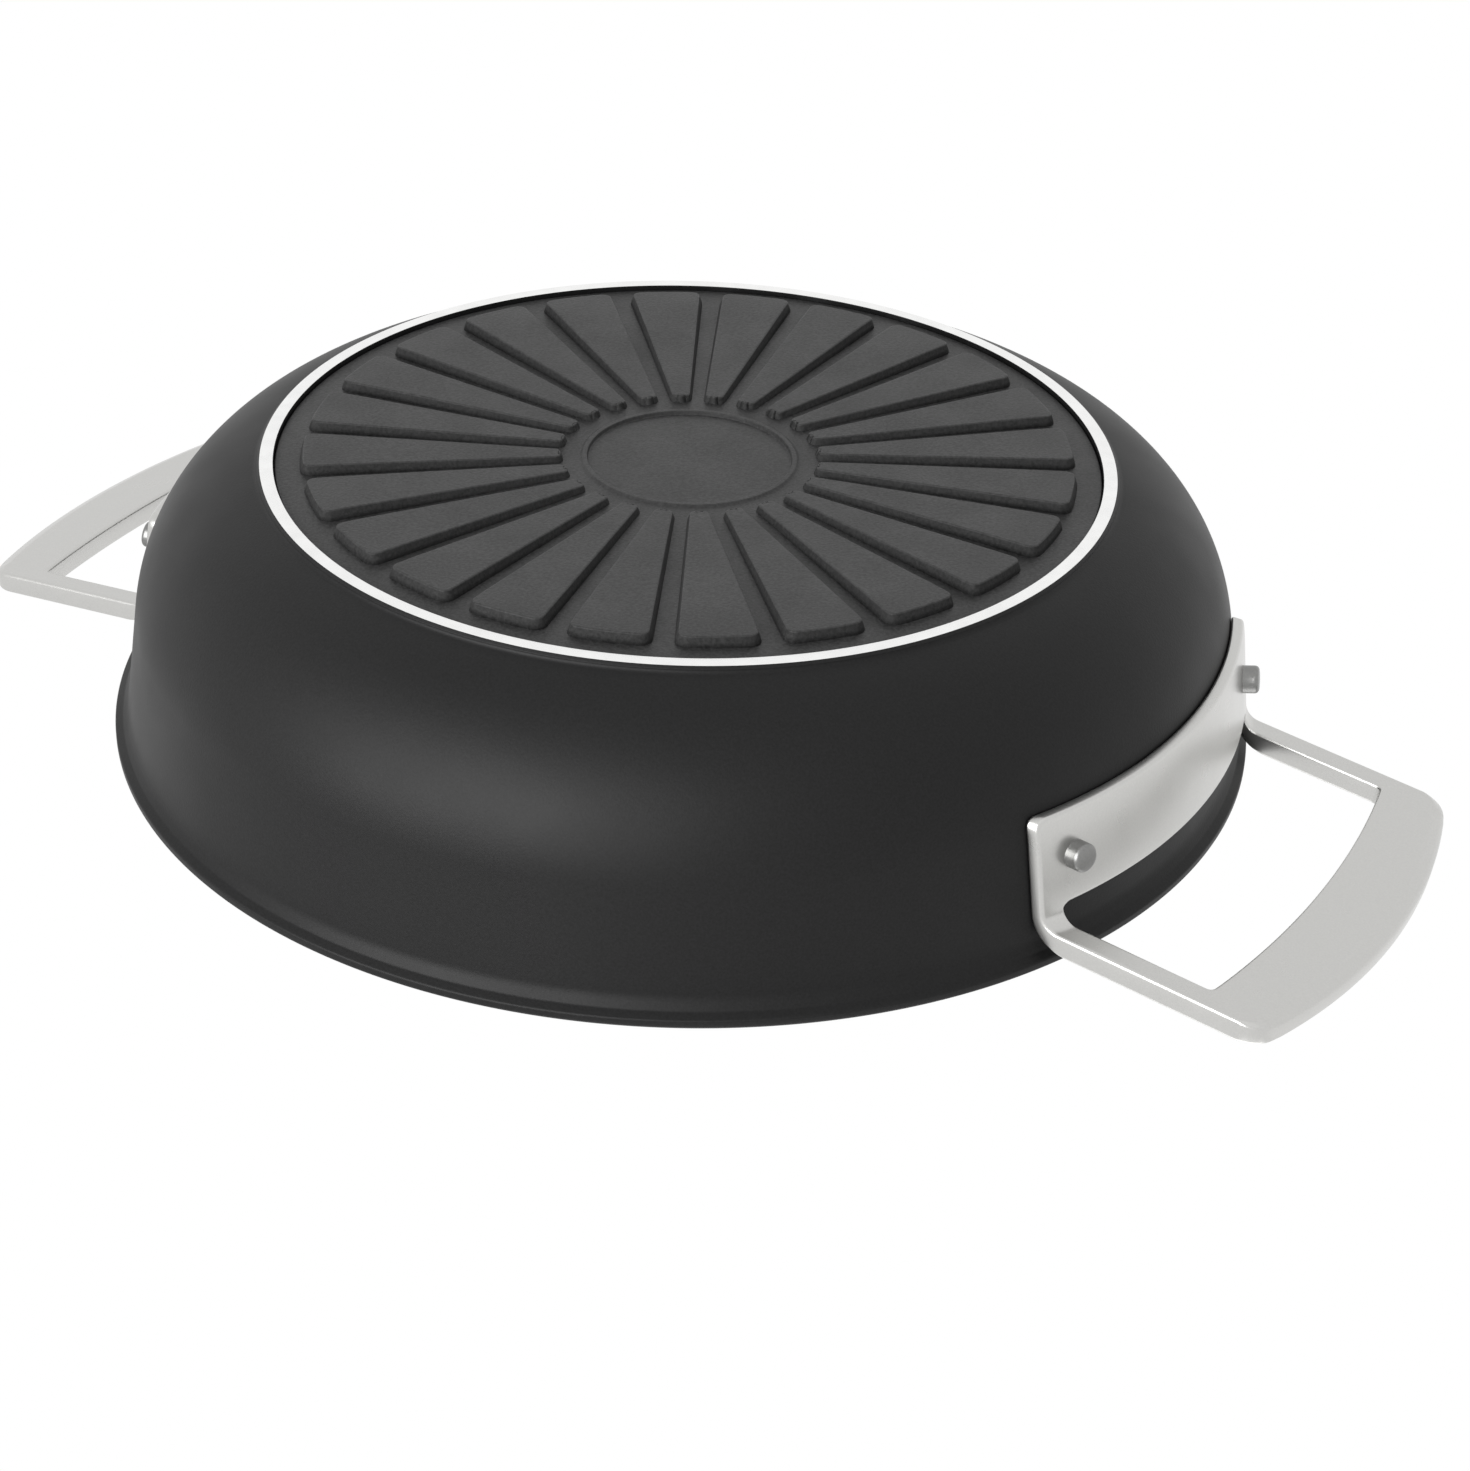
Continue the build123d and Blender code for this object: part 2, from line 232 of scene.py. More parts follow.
def linkMetal(tree, shader, look, tone, wear):
    # bare metal: one noise pattern drives its colour, and one its roughness
    full = look["colour"]
    stops = [(noiseLow, tuple(c * look["shade"] for c in full)), (noiseHigh, full)]
    tree.links.new(rampOf(tree, tone, stops), shader.inputs["Base Color"])
    linkRoughness(tree, shader, look, wear)
    shader.inputs["Metallic"].default_value = 1.0


outsideCoat = {
    "dark": 0.003,
    "light": 0.008,
    "blue": 1.03,
    "roughLow": 0.45,
    "roughHigh": 0.51,
    "specular": 0.22,
    "grain": 1700.0,
    "drift": 38.0,
    "bump": 0.00004,
}


def makeOutsideCoat(look):
    material, tree, shader, place = newMaterial("satinBlackCoat")
    grain = noiseOf(tree, place, look["grain"], 3.0, 0.6)
    drift = noiseOf(tree, place, look["drift"])
    d, l = look["dark"], look["light"]
    stops = [(noiseLow, (d, d, d)), (noiseHigh, (l, l, l * look["blue"]))]
    tree.links.new(rampOf(tree, grain, stops), shader.inputs["Base Color"])
    linkRoughness(tree, shader, look, drift)
    tree.links.new(bumpOf(tree, grain, look["bump"]), shader.inputs["Normal"])
    shader.inputs["Specular IOR Level"].default_value = look["specular"]
    return material


insideCoat = {
    "dark": 0.016,
    "light": 0.030,
    "roughLow": 0.25,
    "roughHigh": 0.37,
    "specular": 0.5,
    "speck": 900.0,
    "speckCore": 0.08,
    "speckEdge": 0.16,
    "speckEnd": 0.7,
    "drift": 60.0,
    "grain": 1500.0,
    "bump": 0.000015,
}


def makeInsideCoat(look):
    material, tree, shader, place = newMaterial("nonStickCoat")
    specks = tree.nodes.new("ShaderNodeTexVoronoi")
    specks.inputs["Scale"].default_value = look["speck"]
    tree.links.new(place, specks.inputs["Vector"])
    d, l = look["dark"], look["light"]
    core = (look["speckCore"], (l * 2, l * 2, l * 2))
    stops = [core, (look["speckEdge"], (l, l, l)), (look["speckEnd"], (d, d, d))]
    tree.links.new(rampOf(tree, specks.outputs["Distance"], stops), shader.inputs["Base Color"])
    linkRoughness(tree, shader, look, noiseOf(tree, place, look["drift"]))
    grain = noiseOf(tree, place, look["grain"])
    tree.links.new(bumpOf(tree, grain, look["bump"]), shader.inputs["Normal"])
    shader.inputs["Specular IOR Level"].default_value = look["specular"]
    return material


bareRing = {
    "colour": (0.90, 0.90, 0.893),
    "shade": 0.94,
    "roughLow": 0.20,
    "roughHigh": 0.32,
    "grooveScale": 700.0,
    "grooveWaver": 0.6,
    "drift": 220.0,
    "bump": 0.000004,
}


def makeBareRing(look):
    material, tree, shader, place = newMaterial("turnedBareMetal")
    grooves = tree.nodes.new("ShaderNodeTexWave")
    grooves.wave_type = "RINGS"
    grooves.rings_direction = "Z"
    grooves.inputs["Scale"].default_value = look["grooveScale"]
    grooves.inputs["Distortion"].default_value = look["grooveWaver"]
    grooves.inputs["Detail"].default_value = 1.0
    tree.links.new(place, grooves.inputs["Vector"])
    drift = noiseOf(tree, place, look["drift"], 3.0)
    linkMetal(tree, shader, look, drift, drift)
    tree.links.new(bumpOf(tree, grooves.outputs["Fac"], look["bump"]), shader.inputs["Normal"])
    return material


plateCoat = {
    "dark": 0.014,
    "light": 0.044,
    "grainLow": 0.32,
    "grainHigh": 0.68,
    "roughLow": 0.39,
    "roughHigh": 0.49,
    "sideRough": 0.75,
    # painted shade: the colour on steep sides is scaled down by this
    "paintedSideShade": 0.68,
    "steepFace": 0.35,  # how level a face is, from 0 upright to 1 level, where it counts as a side
    "levelFace": 0.95,  # and where it counts as level
    "specular": 0.32,
    "grain": 1250.0,
    "drift": 60.0,
    "bump": 0.00012,
}


def makePlateCoat(look):
    material, tree, shader, place = newMaterial("granularBaseCoat")
    grain = noiseOf(tree, place, look["grain"], 3.0, 0.65)
    drift = noiseOf(tree, place, look["drift"])
    d, l = look["dark"], look["light"]
    steep, flat = look["steepFace"], look["levelFace"]
    # the steep sides of the pads and the bead are duller than the level faces, and painted darker: painted
    # shade standing in for the shadow in the grooves
    surface = tree.nodes.new("ShaderNodeNewGeometry")
    split = tree.nodes.new("ShaderNodeSeparateXYZ")
    tree.links.new(surface.outputs["Normal"], split.inputs[0])
    level = tree.nodes.new("ShaderNodeMath")
    level.operation = "ABSOLUTE"
    tree.links.new(split.outputs["Z"], level.inputs[0])
    tone = tree.nodes.new("ShaderNodeVectorMath")
    tone.operation = "SCALE"
    stops = [(look["grainLow"], (d, d, d)), (look["grainHigh"], (l, l, l))]
    tree.links.new(rampOf(tree, grain, stops), tone.inputs[0])
    # painted shade: steep faces get a darker colour than level ones
    shade = rangeOf(tree, level.outputs[0], look["paintedSideShade"], 1.0, steep, flat)
    tree.links.new(shade, tone.inputs["Scale"])
    tree.links.new(tone.outputs[0], shader.inputs["Base Color"])
    dull = tree.nodes.new("ShaderNodeMath")
    dull.operation = "MAXIMUM"
    sideRough = rangeOf(tree, level.outputs[0], look["sideRough"], 0.0, steep, flat)
    tree.links.new(sideRough, dull.inputs[0])
    faceRough = rangeOf(tree, drift, look["roughLow"], look["roughHigh"], noiseLow, noiseHigh)
    tree.links.new(faceRough, dull.inputs[1])
    tree.links.new(dull.outputs[0], shader.inputs["Roughness"])
    tree.links.new(bumpOf(tree, grain, look["bump"]), shader.inputs["Normal"])
    shader.inputs["Specular IOR Level"].default_value = look["specular"]
    return material


handleSteel = {
    "colour": (0.57, 0.567, 0.552),
    "shade": 0.93,
    "roughLow": 0.27,
    "roughHigh": 0.32,
    "grain": 2200.0,
    "drift": 90.0,
    "bump": 0.000005,
}


def makeHandleSteel(look):
    material, tree, shader, place = newMaterial("satinCastSteel")
    grain = noiseOf(tree, place, look["grain"], 3.0, 0.6)
    drift = noiseOf(tree, place, look["drift"])
    linkMetal(tree, shader, look, grain, drift)
    tree.links.new(bumpOf(tree, grain, look["bump"]), shader.inputs["Normal"])
    return material


rivetMetal = {
    "colour": (0.25, 0.25, 0.245),
    "shade": 0.85,
    "roughLow": 0.30,
    "roughHigh": 0.42,
    "grain": 1800.0,
    "bump": 0.00002,
}


def makeRivetMetal(look):
    material, tree, shader, place = newMaterial("darkRivetMetal")
    grain = noiseOf(tree, place, look["grain"], 3.0, 0.6)
    linkMetal(tree, shader, look, grain, grain)
    tree.links.new(bumpOf(tree, grain, look["bump"]), shader.inputs["Normal"])
    return material


coatOutside = makeOutsideCoat(outsideCoat)
coatInside = makeInsideCoat(insideCoat)
metalRing = makeBareRing(bareRing)
coatPlate = makePlateCoat(plateCoat)
steelHandle = makeHandleSteel(handleSteel)
metalRivet = makeRivetMetal(rivetMetal)
print("materials made")

# Pan shell: one turned body with its foot ring, wall, lip and inside
panShell = {
    "steps": 360,
    "rimHeight": 72.0,
    "rimRadius": 146.0,
    "ringHeight": 1.3,
    "ringInner": 103.2,
    "ringOuter": 107.2,
    "ringChamfer": 0.7,
    "bareReach": 0.12,  # how far above the ring's flat the bare metal reaches
    "seatChamfer": 0.1,  # in the corner where the seat meets the ring
    "plateBack": 4.3,
    "pocket": 5.9,
    "pocketRadius": 26.1,
    "footRadius": 90.0,
    "bowlCentre": (95.0, 45.5),
    "bowlRadius": 44.4,
    "flare": 7.6,
    "lipRootHeight": 66.1,
    "lipHeight": 2.6,
    "lipRound": 0.9,
    "floorHeight": 8.2,
    "floorRings": (60, 30, 0),  # radii of the rings across the flat floor
    "insideCentre": (100.17, 44.2),
    "insideRadius": 36.0,
    "mouthStart": 65.6,
    "mouthRadius": 142.08,
    "mouthInset": 3.23,
}


def wallRadius(z, offset=0.0):
    flare = math.radians(panShell["flare"])
    r0, z0 = panShell["bowlCentre"]
    reach = panShell["bowlRadius"] + offset
    endR, endZ = r0 + reach * math.cos(flare), z0 - reach * math.sin(flare)
    if z >= endZ:
        return endR + (z - endZ) * math.tan(flare)
    return r0 + math.sqrt(reach * reach - (z0 - z) ** 2)


def makePanShell(shape):
    s = shape
    r0, z0 = s["bowlCentre"]
    startAngle = -math.degrees(math.acos((s["ringOuter"] - r0) / s["bowlRadius"]))
    seat = (s["ringInner"] - s["seatChamfer"], s["plateBack"])
    under = [(0, s["pocket"]), (s["pocketRadius"], s["pocket"]), (s["footRadius"], s["plateBack"]), seat]
    ring = roundedPath([
        seat,
        (s["ringInner"], s["plateBack"] - s["seatChamfer"], 0.05),
        (s["ringInner"], s["ringHeight"], 0.25),
        (s["ringOuter"] - s["ringChamfer"], s["ringHeight"], 0.25),
        (s["ringOuter"], s["ringHeight"] + s["ringChamfer"], 0.2),
        (s["ringOuter"], z0 + s["bowlRadius"] * math.sin(math.radians(startAngle))),
    ], 4)
    outside = arcPath(s["bowlCentre"], s["bowlRadius"], startAngle, -s["flare"], 44)
    lipUnder = s["rimHeight"] - s["lipHeight"]
    lip = roundedPath([
        outside[-1],
        (wallRadius(s["lipRootHeight"]), s["lipRootHeight"], 6.0),
        (s["rimRadius"] - 2.0, lipUnder - 0.9, 1.2),
        (s["rimRadius"], lipUnder + 0.3, 0.7),
        (s["rimRadius"], s["rimHeight"], s["lipRound"]),
        (s["mouthRadius"], s["rimHeight"], 1.1),
        (wallRadius(s["mouthStart"]) - s["mouthInset"], s["mouthStart"], 4.0),
        (s["insideCentre"][0] + s["insideRadius"] * math.cos(math.radians(s["flare"])),
         s["insideCentre"][1] - s["insideRadius"] * math.sin(math.radians(s["flare"]))),
    ], 6)
    inside = arcPath(s["insideCentre"], s["insideRadius"], -s["flare"], -90, 36)
    floor = [(r, s["floorHeight"]) for r in s["floorRings"]]
    path = under + ring[1:] + outside[1:] + lip[1:] + inside[1:] + floor
    thing, bands = turned("panShell", path, s["steps"])
    # the ring's flat is bare, the inside coat starts at the rim, and the rest has the outside coat
    ringStart, ringEnd = len(under) - 1, len(under) + len(ring) - 2
    wallEnd = ringEnd + len(outside)
    bare = [i for i in range(ringStart, ringEnd) if path[i][1] <= s["ringHeight"] + s["bareReach"]]
    rimStart = min(i for i in range(wallEnd + 1, len(path)) if abs(path[i][1] - s["rimHeight"]) < 1e-6)
    for material in (coatOutside, metalRing, coatInside):
        thing.data.materials.append(material)
    index = [1 if bare[0] <= b < bare[-1] else (2 if b > rimStart else 0) for b in bands]
    thing.data.polygons.foreach_set("material_index", index)
    tidyMesh(thing)
    return thing


pan = makePanShell(panShell)
print("pan shell turned,", len(pan.data.polygons), "faces")

# Base plate: a turned, slightly hollow plate with a round bead about its recessed middle
basePlate = {
    "steps": 240,
    "radius": 102.95,
    "face": 2.6,
    "thickness": 1.68,
    "footRadius": 90.0,
    "hollow": 1.4,  # rise of the pad tops between the foot and the pads' inner ends
    "floorHollow": 0.5,  # the same for the floor of the grooves
    "innerRadius": 32.2,
    "beadRadius": 26.1,
    "beadTop": 0.6,  # height of the bead over the plate about it
    "recess": 0.35,
    "beadSpread": 3.4,
    "beadOuterFoot": 1.4,
    "beadInnerFoot": 0.75,
    "crestOut": 0.7,
    "crestIn": 0.4,
}


def hollowAt(r, depth="hollow"):
    s = basePlate
    return max(0.0, s["footRadius"] - r) * s[depth] / (s["footRadius"] - s["innerRadius"])


def makeBasePlate(shape):
    s = shape
    r0 = s["beadRadius"]
    around = s["face"] + hollowAt(r0, "floorHollow")
    nearBead = s["face"] + hollowAt(r0 + s["beadSpread"], "floorHollow")
    crest, floor = around - s["beadTop"], around + s["recess"]
    back = s["face"] + s["thickness"]
    path = roundedPath([
        (0, back + hollowAt(r0)),
        (r0, back + hollowAt(r0)),
        (s["footRadius"], back),
        (s["radius"], back, 0.1),
        (s["radius"], s["face"], 0.4),
        (s["footRadius"], s["face"], 30.0),
        (r0 + s["beadSpread"], nearBead, 2.0),
        (r0 + s["beadOuterFoot"], around + 0.02, 1.2),
        (r0 + s["crestOut"], crest, 0.4),
        (r0 - s["crestIn"], crest, 0.25),
        (r0 - s["beadInnerFoot"], floor, 0.25),
        (r0 - 4.0, floor),
        (12, floor),
        (0, floor),
    ], 5)
    thing, _ = turned("basePlate", path, s["steps"])
    thing.data.materials.append(coatPlate)
    tidyMesh(thing)
    return thing


plate = makeBasePlate(basePlate)

# Base pads: one drafted wedge with rounded edges, repeated round the plate by Geometry Nodes
basePads = {
    "count": 24,
    "turn": 8.9,
    "inner": 32.2,
    "outer": 96.0,
    "grooveInner": 4.0,
    "grooveOuter": 6.4,
    "height": 2.6,
    "sunk": 0.3,
    "draft": 16.0,
    "cornerOuter": 2.2,
    "cornerInner": 1.5,
    "cornerLeast": 0.3,
    "edgeRound": 0.45,
    "edgeSlack": 0.0001,  # the rounded edge is drawn this much wider than the outline
    "topInset": 0.25,
    "cornerSteps": 6,
    "sideSteps": 14,
    "edgeSteps": 5,
}


def padOutline(shape, inset):
    # half of the pad's outline, from the middle of its inner end to the middle of its outer end
    s = shape
    inner, outer = s["inner"] + inset, s["outer"] - inset

    def sidePoint(r, groove):
        half = math.pi / s["count"] - math.asin(groove / 2 / r)
        return Vector((r * math.cos(half), r * math.sin(half)))

    low, high = sidePoint(s["inner"], s["grooveInner"]), sidePoint(s["outer"], s["grooveOuter"])
    along = (high - low).normalized()
    across = Vector((along.y, -along.x)) * inset

    def sideAt(radius):
        start = low + across
        b = start.dot(along)
        return start + along * (-b + math.sqrt(b * b - start.length_squared + radius * radius))

    def endPoint(radius, corner):
        # halfway round an end, between its middle and its corner
        half = math.atan2(corner.y, corner.x) / 2
        return (radius * math.cos(half), radius * math.sin(half))

    def cornerRound(name):
        return max(s["cornerLeast"], s[name] - inset)

    near, far = sideAt(inner), sideAt(outer)
    innerEnd, outerEnd = endPoint(inner, near), endPoint(outer, far)
    nearCorner = roundedPath([innerEnd, (*near, cornerRound("cornerInner")), far], s["cornerSteps"])[1:-1]
    farCorner = roundedPath([near, (*far, cornerRound("cornerOuter")), outerEnd], s["cornerSteps"])[1:-1]
    sideStart, sideEnd, count = Vector(nearCorner[-1]), Vector(farCorner[0]), s["sideSteps"]
    side = [tuple(sideStart.lerp(sideEnd, k / count)) for k in range(1, count)]
    return [(inner, 0), innerEnd, *nearCorner, *side, *farCorner, outerEnd, (outer, 0)]


def makePadMesh(shape):
    s = shape
    run = math.tan(math.radians(s["draft"]))
    rounding = s["edgeRound"]
    root, middle = s["height"] + s["sunk"], s["height"] / 2
    levels = [(-root * run, root), (-middle * run, middle)]
    for k in range(s["edgeSteps"] + 1):
        a = math.radians(90 * k / s["edgeSteps"])
        levels.append((rounding * (1 - math.cos(a)) - s["edgeSlack"], rounding * (1 - math.sin(a))))
    levels.append((rounding + s["topInset"], 0.0))
    points, rings = [], []
    for inset, depth in levels:
        half = padOutline(s, inset)
        loop = half + [(x, -y) for x, y in half[-2:0:-1]]
        rings.append(list(range(len(points), len(points) + len(loop))))
        points += [(x, y, depth + hollowAt(math.hypot(x, y))) for x, y in loop]
    size = len(rings[0])
    faces = []
    for a, b in zip(rings, rings[1:]):
        faces += [(a[k], a[(k + 1) % size], b[(k + 1) % size], b[k]) for k in range(size)]
    # strips across the top and the hidden back join the two sides
    for ring, flip in ((rings[-1], 1), (rings[0], -1)):
        other = [ring[-k % size] for k in range(size)]
        for k in range(size // 2):
            corners = list(dict.fromkeys((ring[k], ring[k + 1], other[k + 1], other[k])))
            faces.append(tuple(corners[::flip]))
    thing = addMesh("basePads", points, faces)
    tidyMesh(thing)
    return thing


def addInput(tree, name, kind, value=None):
    socket = tree.interface.new_socket(name=name, in_out="INPUT", socket_type=kind)
    if value is not None:
        socket.default_value = value


def bakeNodes(thing, tree, values):
    # sets the named inputs, evaluates once, and leaves a plain mesh
    modifier = thing.modifiers.new(tree.name, "NODES")
    modifier.node_group = tree
    for item in tree.interface.items_tree:
        if getattr(item, "in_out", "") == "INPUT" and item.name in values:
            modifier[item.identifier] = values[item.name]
    bpy.context.view_layer.update()
    evaluated = thing.evaluated_get(bpy.context.evaluated_depsgraph_get())
    baked = bpy.data.meshes.new_from_object(evaluated)
    thing.modifiers.remove(modifier)
    thing.data = baked
    return thing


def padRingTree():
    tree = bpy.data.node_groups.new("padRing", "GeometryNodeTree")
    addInput(tree, "Pad", "NodeSocketGeometry")
    addInput(tree, "Count", "NodeSocketInt", 24)
    addInput(tree, "Turn", "NodeSocketFloat", 0.0)
    addInput(tree, "Finish", "NodeSocketMaterial")
    tree.interface.new_socket(name="Geometry", in_out="OUTPUT", socket_type="NodeSocketGeometry")
    nodes, links = tree.nodes, tree.links
    start, end = nodes.new("NodeGroupInput"), nodes.new("NodeGroupOutput")
    points = nodes.new("GeometryNodePoints")
    links.new(start.outputs["Count"], points.inputs["Count"])
    index = nodes.new("GeometryNodeInputIndex")
    pitch = nodes.new("ShaderNodeMath")
    pitch.operation = "DIVIDE"
    pitch.inputs[0].default_value = 2 * math.pi
    links.new(start.outputs["Count"], pitch.inputs[1])
    angle = nodes.new("ShaderNodeMath")
    angle.operation = "MULTIPLY_ADD"
    links.new(index.outputs[0], angle.inputs[0])
    links.new(pitch.outputs[0], angle.inputs[1])
    links.new(start.outputs["Turn"], angle.inputs[2])
    turn = nodes.new("ShaderNodeCombineXYZ")
    links.new(angle.outputs[0], turn.inputs["Z"])
    place = nodes.new("GeometryNodeInstanceOnPoints")
    links.new(points.outputs[0], place.inputs["Points"])
    links.new(start.outputs["Pad"], place.inputs["Instance"])
    links.new(turn.outputs[0], place.inputs["Rotation"])
    real = nodes.new("GeometryNodeRealizeInstances")
    links.new(place.outputs[0], real.inputs[0])
    finish = nodes.new("GeometryNodeSetMaterial")
    links.new(real.outputs[0], finish.inputs["Geometry"])
    links.new(start.outputs["Finish"], finish.inputs["Material"])
    links.new(finish.outputs[0], end.inputs[0])
    return tree


pads = bakeNodes(makePadMesh(basePads), padRingTree(), {
    "Count": basePads["count"],
    "Turn": math.radians(basePads["turn"]),
    "Finish": coatPlate,
})
print("base plate and", basePads["count"], "pads made,", len(pads.data.polygons), "faces")

# Handles: one rounded strap that closes on itself through grip, bars, elbows, legs and flange
handleShape = {
    "gap": 0.15,
    "flangeThickness": 3.0,
    "barThickness": 5.6,
    "flangeLow": 34.0,
    "flangeTop": 57.2,
    "halfWidth": 57.6,
    "barWidth": 6.3,
    "faceHeight": 62.9,  # height of the loop's front face at faceRadius
    "faceRadius": 146.0,
    "tilt": 6.6,
    "elbowInner": 4.5,
    "elbowOuter": 11.0,
    "elbowEnd": 143.0,
    "elbowSpan": 12.0,
    "gripOuter": 197.8,
    "gripWidth": 20.2,
    "outerRadius": 172.0,
    "innerRadius": 280.0,
    "cornerRadius": 8.0,
    "slotCorner": 1.6,
    "legCorner": 2.0,
    "flangeCorner": 2.5,
    "frontRound": 0.8,
    "backRound": 0.9,
    "bevelWidth": 3.4,
    "bevelDepth": 1.2,
    "gripSteps": 22,
    "cornerSteps": 12,
    "barSteps": 10,
    "elbowSteps": 18,
    "legSteps": 26,
    "flangeSteps": 20,
    "curveSteps": 40,
    "roundSteps": 24,
}
straightShare = 0.15  # of the elbow's run, at each end
edgeSupport = 0.3  # distance of the first and last step across a face from its rounded edges
fromBack = 1e-6  # a depth is measured from the front, and a negative one from the back


def elbowCurve(start, slopeIn, end, slopeOut, radius, u):
    # a straight, an arc and a straight that join two lines; u runs from 0 to 1
    a, b = Vector(start), Vector(end)
    d, e = Vector(slopeIn).normalized(), Vector(slopeOut).normalized()
    cross = d.x * e.y - d.y * e.x
    k = ((b - a).x * e.y - (b - a).y * e.x) / cross
    knee = a + d * k
    turn = d.angle(e)
    reach = radius * math.tan(turn / 2)
    first, last = knee - d * reach, knee + e * reach
    if u < straightShare:
        return a.lerp(first, u / straightShare)
    if u > 1 - straightShare:
        return last.lerp(b, (u - (1 - straightShare)) / straightShare)
    side = Vector((d.y, -d.x)) if cross < 0 else Vector((-d.y, d.x))
    middle = first + side * radius
    angle = turn * (u - straightShare) / (1 - 2 * straightShare) * (1 if cross > 0 else -1)
    arm = first - middle
    c, s = math.cos(angle), math.sin(angle)
    return middle + Vector((arm.x * c - arm.y * s, arm.x * s + arm.y * c))


def sheetPoint(shape, y, q, depth):
    # y across the handle, q along it: below 0 down the flange, 0 to elbowSpan round the elbow, then outwards
    s = shape
    tilt = math.radians(s["tilt"])
    out = Vector((math.cos(tilt), math.sin(tilt)))
    lift = Vector((-math.sin(tilt), math.cos(tilt)))
    thick = s["flangeThickness"]

    def wallPoint(z, offset):
        return Vector((math.sqrt(wallRadius(z, offset) ** 2 - y * y), z))

    def flatPoint(x):
        return Vector((x, s["faceHeight"] + (x - s["faceRadius"]) * math.tan(tilt)))

    if q <= 0:
        z = s["flangeTop"] + q
        front, back = wallPoint(z, s["gap"] + thick), wallPoint(z, s["gap"])
    elif q >= s["elbowSpan"]:
        front = flatPoint(s["elbowEnd"] + q - s["elbowSpan"])
        back = front + lift * s["barThickness"]
    else:
        u = q / s["elbowSpan"]
        z = s["flangeTop"]
        frontEnd = flatPoint(s["elbowEnd"])
        backEnd = frontEnd + lift * s["barThickness"]
        f0, f1 = wallPoint(z, s["gap"] + thick), wallPoint(z + 1, s["gap"] + thick)
        b0, b1 = wallPoint(z, s["gap"]), wallPoint(z + 1, s["gap"])
        front = elbowCurve(f0, f1 - f0, frontEnd, out, s["elbowInner"], u)
        back = elbowCurve(b0, b1 - b0, backEnd, out, s["elbowOuter"], u)
    thickHere = (back - front).length
    spot = front.lerp(back, depth / thickHere) if depth >= 0 else back.lerp(front, -depth / thickHere)
    return (spot.x, y, spot.y)


def handleEdges(shape):
    # matched points on the slot's edge and on the outer edge, from the grip's middle to the flange's middle
    s = shape
    toQ = s["elbowSpan"] - s["elbowEnd"]
    inY, outY = s["halfWidth"] - s["barWidth"], s["halfWidth"]
    gripIn, gripOut = s["gripOuter"] - s["gripWidth"] + toQ, s["gripOuter"] + toQ
    low = s["flangeLow"] - s["flangeTop"]

    def bow(top, radius, y):
        return top - radius + math.sqrt(radius * radius - y * y)

    def cornered(points, radius):
        # the arc that rounds the middle one of three points
        return roundedPath([points[0], (*points[1], radius), points[2]], s["roundSteps"])[1:-1]

    def slotEdge(y):
        return (y, bow(gripIn, s["innerRadius"], y))

    def gripEdge(y):
        return (y, bow(gripOut, s["outerRadius"], y))

    def spread(points, count):
        # resamples a polyline to count even steps
        points = [Vector(p) for p in points]
        along = [0.0]
        for a, b in zip(points, points[1:]):
            along.append(along[-1] + (b - a).length)
        out = []
        for k in range(count + 1):
            t = along[-1] * k / count
            i = max(j for j in range(len(along)) if along[j] <= t + 1e-12)
            i = min(i, len(points) - 2)
            out.append(points[i].lerp(points[i + 1], (t - along[i]) / max(along[i + 1] - along[i], 1e-12)))
        return out

    slotCorner = cornered([slotEdge(inY - 20), slotEdge(inY), (inY, 30)], s["slotCorner"])
    outerCorner = cornered([gripEdge(outY - 12), gripEdge(outY), (outY, 30)], s["cornerRadius"])
    crotch = cornered([(inY, 10), (inY, 0), (inY - 10, 0)], s["legCorner"])
    foot = cornered([(outY, low + 10), (outY, low), (outY - 10, low)], s["flangeCorner"])
    slotCurve = [slotEdge(y) for y in np.linspace(0, slotCorner[0][0], s["curveSteps"])]
    gripCurve = [gripEdge(y) for y in np.linspace(0, outerCorner[0][0], s["curveSteps"])]
    slotCurve[-1], gripCurve[-1] = slotCorner[0], outerCorner[0]
    barEnd = s["elbowSpan"]
    legTop, legFoot = (outY, crotch[0][1]), (crotch[-1][0], low)
    stretches = (
        ("gripSteps", slotCurve, gripCurve),
        ("cornerSteps", slotCorner, outerCorner),
        ("barSteps", [slotCorner[-1], (inY, barEnd)], [outerCorner[-1], (outY, barEnd)]),
        ("elbowSteps", [(inY, barEnd), crotch[0]], [(outY, barEnd), legTop]),
        ("legSteps", crotch, [legTop, *foot, legFoot]),
        ("flangeSteps", [crotch[-1], (0, 0)], [legFoot, (0, low)]),
    )
    inner, outer = [Vector(slotCurve[0])], [Vector(gripCurve[0])]
    for steps, slotSide, outerSide in stretches:
        inner += spread(slotSide, s[steps])[1:]
        outer += spread(outerSide, s[steps])[1:]
    # the bevel is full along the grip and fades out round its corner
    fade = s["cornerSteps"]
    weights = [1.0] * (s["gripSteps"] + 1) + [1 - k / fade for k in range(1, fade + 1)]
    weights += [0.0] * (len(inner) - len(weights))
    return inner, outer, weights


def edgeNormals(edge, other):
    normals = []
    for i, here in enumerate(edge):
        a, b = edge[max(i - 1, 0)], edge[min(i + 1, len(edge) - 1)]
        along = (b - a).normalized()
        if i in (0, len(edge) - 1):
            along = Vector((1, 0)) if i == 0 else Vector((-1, 0))
        n = Vector((-along.y, along.x))
        normals.append(n if n.dot(other[i] - here) > 0 else -n)
    return normals


def acrossShares(span):
    # shares of the way between two rounded edges, with one step close to each
    close = edgeSupport / span
    return (close, 0.2, 0.4, 0.6, 0.8, 1 - close)


